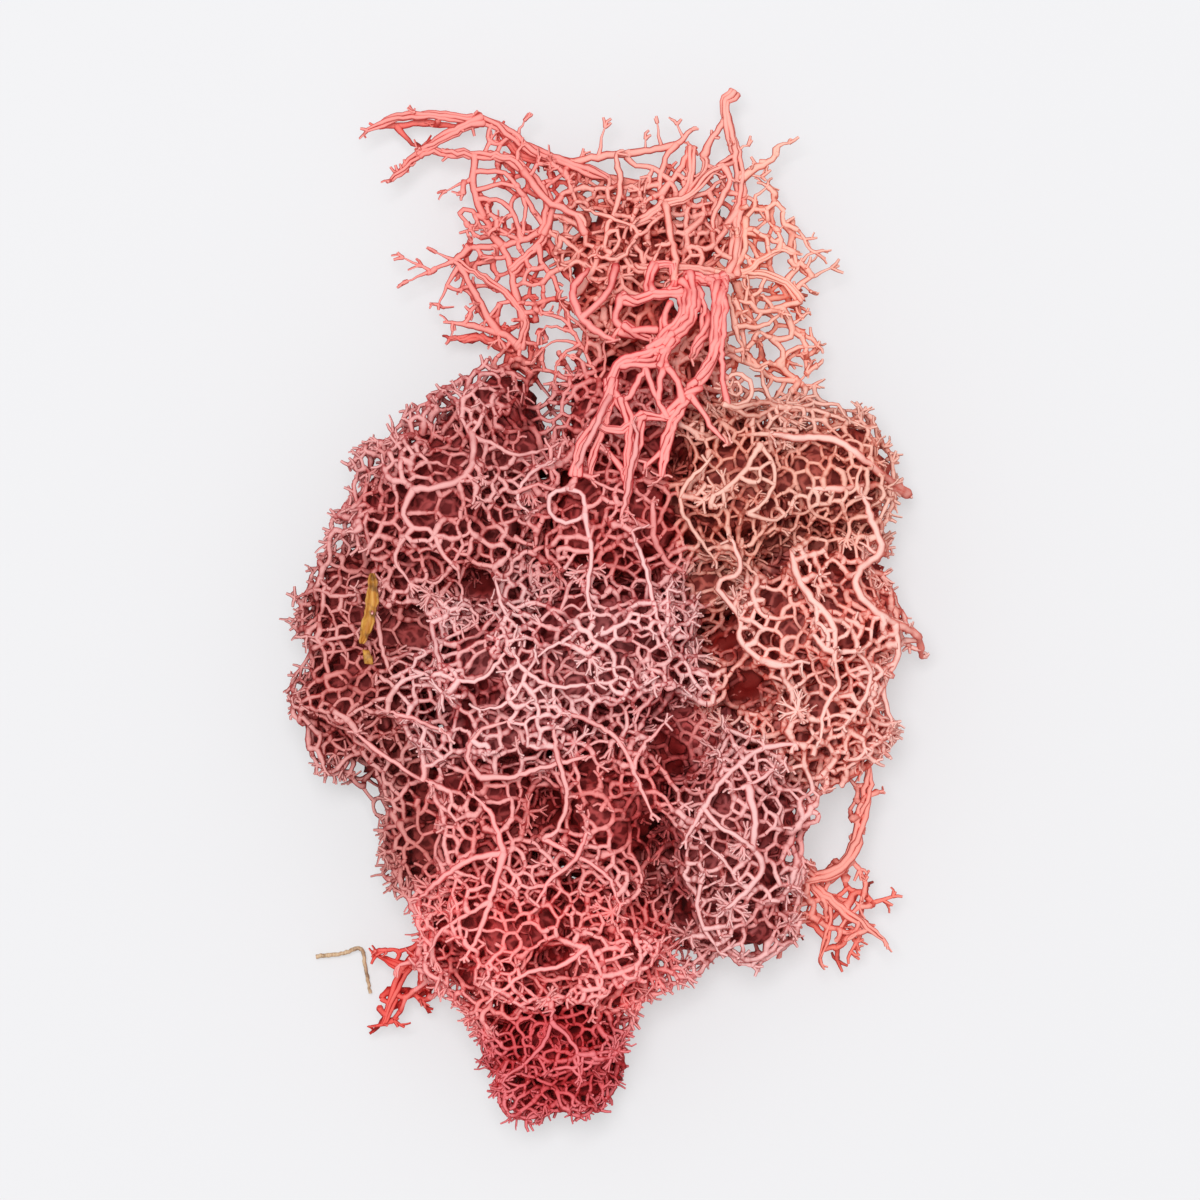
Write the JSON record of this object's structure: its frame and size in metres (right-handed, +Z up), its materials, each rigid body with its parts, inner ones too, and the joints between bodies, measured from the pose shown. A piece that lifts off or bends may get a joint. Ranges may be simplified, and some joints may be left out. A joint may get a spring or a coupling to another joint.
{
  "type": "reindeer moss clump",
  "caption": "Tangled clump of dyed, preserved reindeer moss: dense branching heads in dusky rose, coral and crimson, with an open coral-like fan of stems at one end.",
  "frame": {"origin": "middle of the flat spot under the centre head, on the surface that the clump rests on", "axes": "+Z up from that surface, through the clump's thickness; +Y along its length, from the crimson head to the open fan of stems; +X to the right seen from above"},
  "size_m": [0.0528, 0.0864, 0.0186],
  "materials": {
    "centre_head": "matte",
    "centre_low_head": "matte",
    "lower_head": "matte",
    "crimson_head": "matte",
    "lower_left_head": "matte",
    "left_head": "matte",
    "upper_left_head": "matte",
    "upper_centre_head": "matte",
    "upper_right_head": "matte",
    "right_edge_head": "matte",
    "right_lobe_head": "matte",
    "lower_right_spray": "matte",
    "lower_left_stalk": "matte",
    "pink_stem_bundle": "matte",
    "fan_centre_spray": "matte",
    "fan_right_spray": "matte",
    "fan_left_spray": "matte",
    "ochre_leaf_scrap": "matte",
    "dry_straw": "matte"
  },
  "bodies": {
    "root": {"centre_head": "centre_head", "centre_low_head": "centre_low_head", "lower_head": "lower_head", "crimson_head": "crimson_head", "lower_left_head": "lower_left_head", "left_head": "left_head", "upper_left_head": "upper_left_head", "upper_centre_head": "upper_centre_head", "upper_right_head": "upper_right_head", "right_edge_head": "right_edge_head", "right_lobe_head": "right_lobe_head", "lower_right_spray": "lower_right_spray", "lower_left_stalk": "lower_left_stalk", "pink_stem_bundle": "pink_stem_bundle", "fan_centre_spray": "fan_centre_spray", "fan_right_spray": "fan_right_spray", "fan_left_spray": "fan_left_spray", "ochre_leaf_scrap": "ochre_leaf_scrap", "dry_straw": "dry_straw"}
  },
  "joints": []
}
